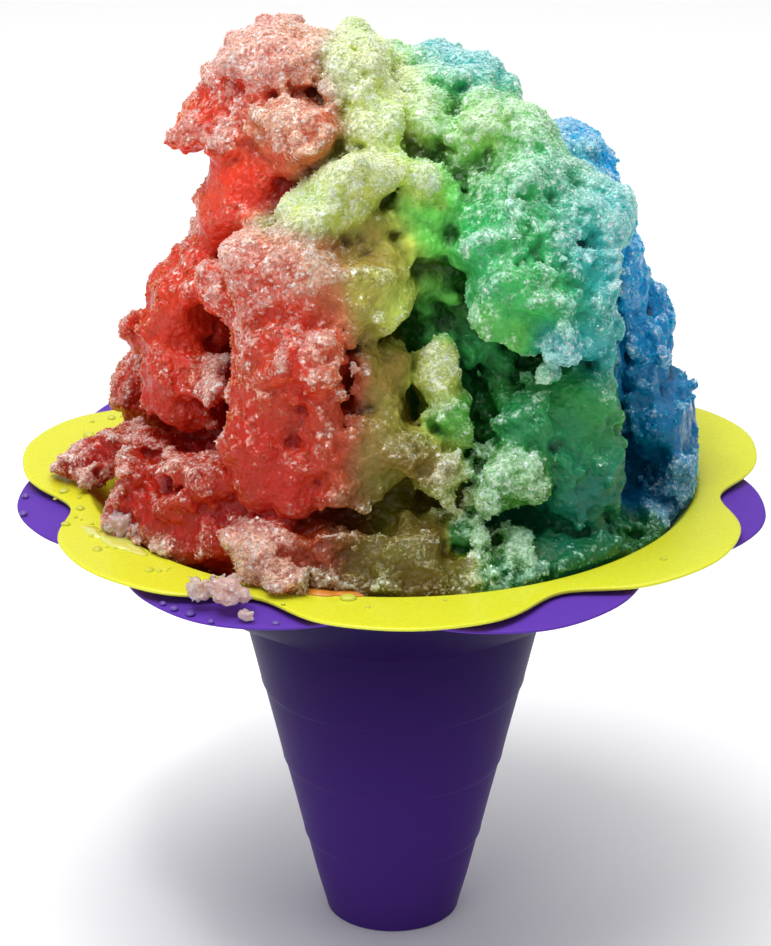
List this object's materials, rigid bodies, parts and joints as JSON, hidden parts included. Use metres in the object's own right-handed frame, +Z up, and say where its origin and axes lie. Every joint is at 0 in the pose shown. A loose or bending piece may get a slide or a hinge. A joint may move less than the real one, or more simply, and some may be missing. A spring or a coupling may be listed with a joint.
{
  "type": "shaved ice dessert in flower cup",
  "caption": "Tall heap of rainbow-syruped shaved ice in a cone-shaped cup with a petalled brim and petalled collar.",
  "frame": {"origin": "centre of the cup's flat base, on the surface it stands on", "axes": "+Z up the cup's axis, +X to the blue side of the heap, -Y towards the front of the heap"},
  "size_m": [0.1691, 0.1713, 0.2175],
  "materials": {
    "cup_plastic": "moulded purple plastic, soft gloss",
    "collar_plastic": "thin moulded yellow plastic, soft gloss",
    "syruped_ice": "wet shaved ice, striped red, lime, green and blue by syrup, frosted on its crests"
  },
  "bodies": {
    "root": {"cup": "cup_plastic", "petal_collar": "collar_plastic", "shaved_ice": "syruped_ice", "spill_clump": "syruped_ice"}
  },
  "joints": []
}
